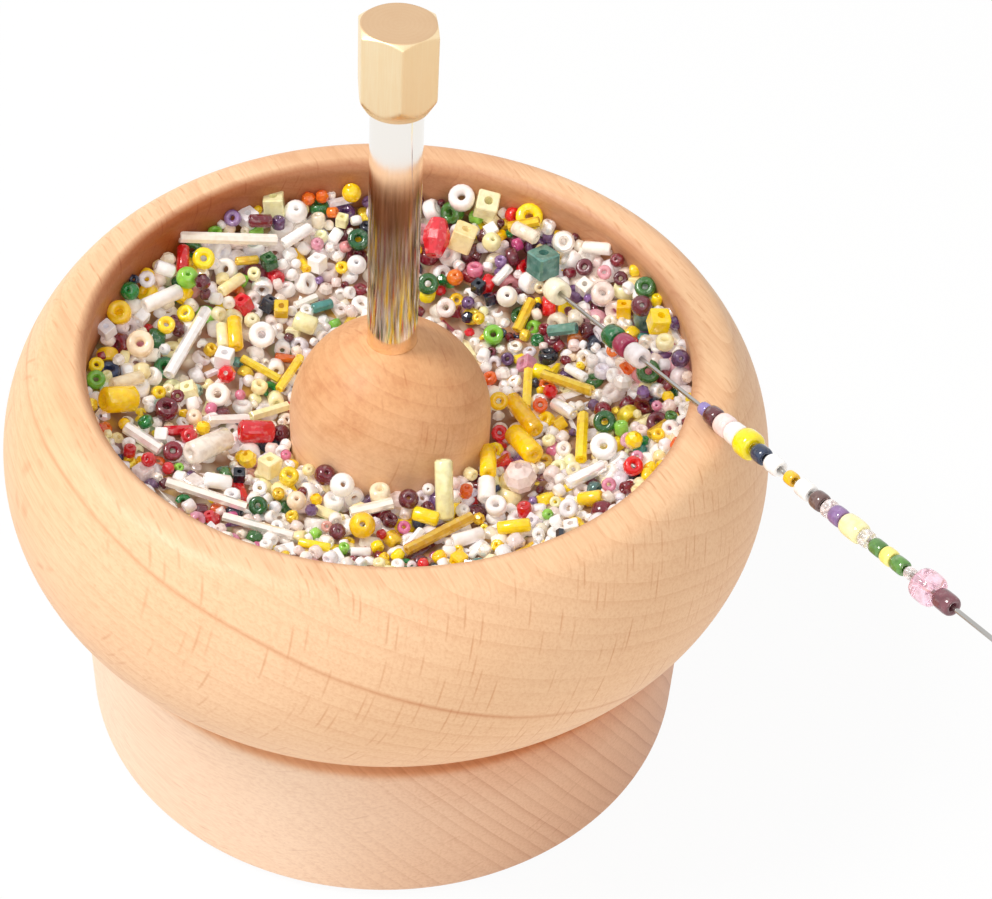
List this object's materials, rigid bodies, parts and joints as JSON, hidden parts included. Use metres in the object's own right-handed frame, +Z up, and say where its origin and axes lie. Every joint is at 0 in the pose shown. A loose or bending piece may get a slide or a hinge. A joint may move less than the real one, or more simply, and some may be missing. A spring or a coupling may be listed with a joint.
{
  "type": "bead spinner",
  "caption": "Turned wooden bowl of beads that spins on a steel spindle with a hexagonal brass knob over a round base, with a beading needle on its rim.",
  "frame": {"origin": "on the spinning axis, at the surface that the base stands on", "axes": "+Z up along the spinning axis; -Y towards the viewer; the needle points out over the rim to +X and -Y"},
  "size_m": [0.1458, 0.1481, 0.1344],
  "materials": {
    "beech": "fine-sanded beech, thin satin oil",
    "pad_rubber": "dull, lightly textured",
    "bearing_steel": "ground and polished",
    "cage_bronze": "machined",
    "shield_steel": "pressed sheet",
    "turned_steel": "turned",
    "polished_steel": "bright polished rod",
    "hex_brass": "satin, drawn bar with turned ends",
    "washer_brass": "turned",
    "screw_steel": "zinc bright",
    "mixed_glass": "mixed loose beads",
    "needle_steel": "nickel bright",
    "white_glass": "glossy opaque",
    "clear_glass": "clear, some colour-lined",
    "silver_lined_glass": "silver-lined, bright",
    "cream_glass": "glossy, pearly",
    "yellow_glass": "glossy opaque",
    "gold_lined_glass": "gold-lined, bright",
    "orange_glass": "glossy",
    "red_glass": "glossy",
    "burgundy_glass": "glossy, translucent",
    "pink_glass": "glossy, translucent",
    "purple_glass": "glossy, translucent",
    "navy_glass": "glossy, near black",
    "teal_glass": "glossy",
    "green_glass": "glossy, translucent",
    "lime_glass": "glossy opaque"
  },
  "bodies": {
    "base": {"base_block": "beech", "foot_pad": "pad_rubber", "lower_outer_race": "bearing_steel", "lower_shields": "shield_steel", "upper_outer_race": "bearing_steel", "upper_shields": "shield_steel"},
    "bearing_rotor": {"lower_inner_race": "bearing_steel", "upper_inner_race": "bearing_steel", "spacer_sleeve": "turned_steel"},
    "lower_ball_train": {"lower_balls": "bearing_steel", "lower_cage": "cage_bronze"},
    "upper_ball_train": {"upper_balls": "bearing_steel", "upper_cage": "cage_bronze"},
    "bowl_unit": {"bowl": "beech", "spindle": "polished_steel", "knob": "hex_brass", "thrust_washer": "washer_brass", "hub_flange": "turned_steel", "flange_screws": "screw_steel", "buried_beads": "mixed_glass", "white_beads": "white_glass", "clear_beads": "clear_glass", "silver_beads": "silver_lined_glass", "cream_beads": "cream_glass", "yellow_beads": "yellow_glass", "gold_beads": "gold_lined_glass", "orange_beads": "orange_glass", "red_beads": "red_glass", "burgundy_beads": "burgundy_glass", "pink_beads": "pink_glass", "purple_beads": "purple_glass", "navy_beads": "navy_glass", "teal_beads": "teal_glass", "green_beads": "green_glass", "lime_beads": "lime_glass", "white_bugles": "white_glass", "gold_bugles": "gold_lined_glass", "silver_bugles": "silver_lined_glass"},
    "needle_unit": {"needle": "needle_steel", "strung_white": "white_glass", "strung_clear": "clear_glass", "strung_yellow": "yellow_glass", "strung_green": "green_glass", "strung_purple": "purple_glass", "strung_brown": "burgundy_glass", "strung_blue": "navy_glass"}
  },
  "joints": [
    {"name": "spin", "type": "hinge", "parent": "base", "child": "bearing_rotor", "pos_m": [0, 0, 0.0283], "axis": [0, 0, 1], "continuous": true},
    {"name": "lower_cage_creep", "type": "hinge", "parent": "base", "child": "lower_ball_train", "pos_m": [0, 0, 0.0085], "axis": [0, 0, 1], "continuous": true},
    {"name": "upper_cage_creep", "type": "hinge", "parent": "base", "child": "upper_ball_train", "pos_m": [0, 0, 0.0283], "axis": [0, 0, 1], "continuous": true},
    {"name": "bowl_lift", "type": "slide", "parent": "bearing_rotor", "child": "bowl_unit", "axis": [0, 0, 1], "range_m": [0, 0.06]},
    {"name": "needle_lift", "type": "slide", "parent": "bowl_unit", "child": "needle_unit", "axis": [0, 0, 1], "range_m": [0, 0.06]}
  ],
  "couplings": [
    {"joint": "lower_cage_creep", "follows": "spin", "ratio": 0.36767},
    {"joint": "upper_cage_creep", "follows": "spin", "ratio": 0.36767}
  ]
}
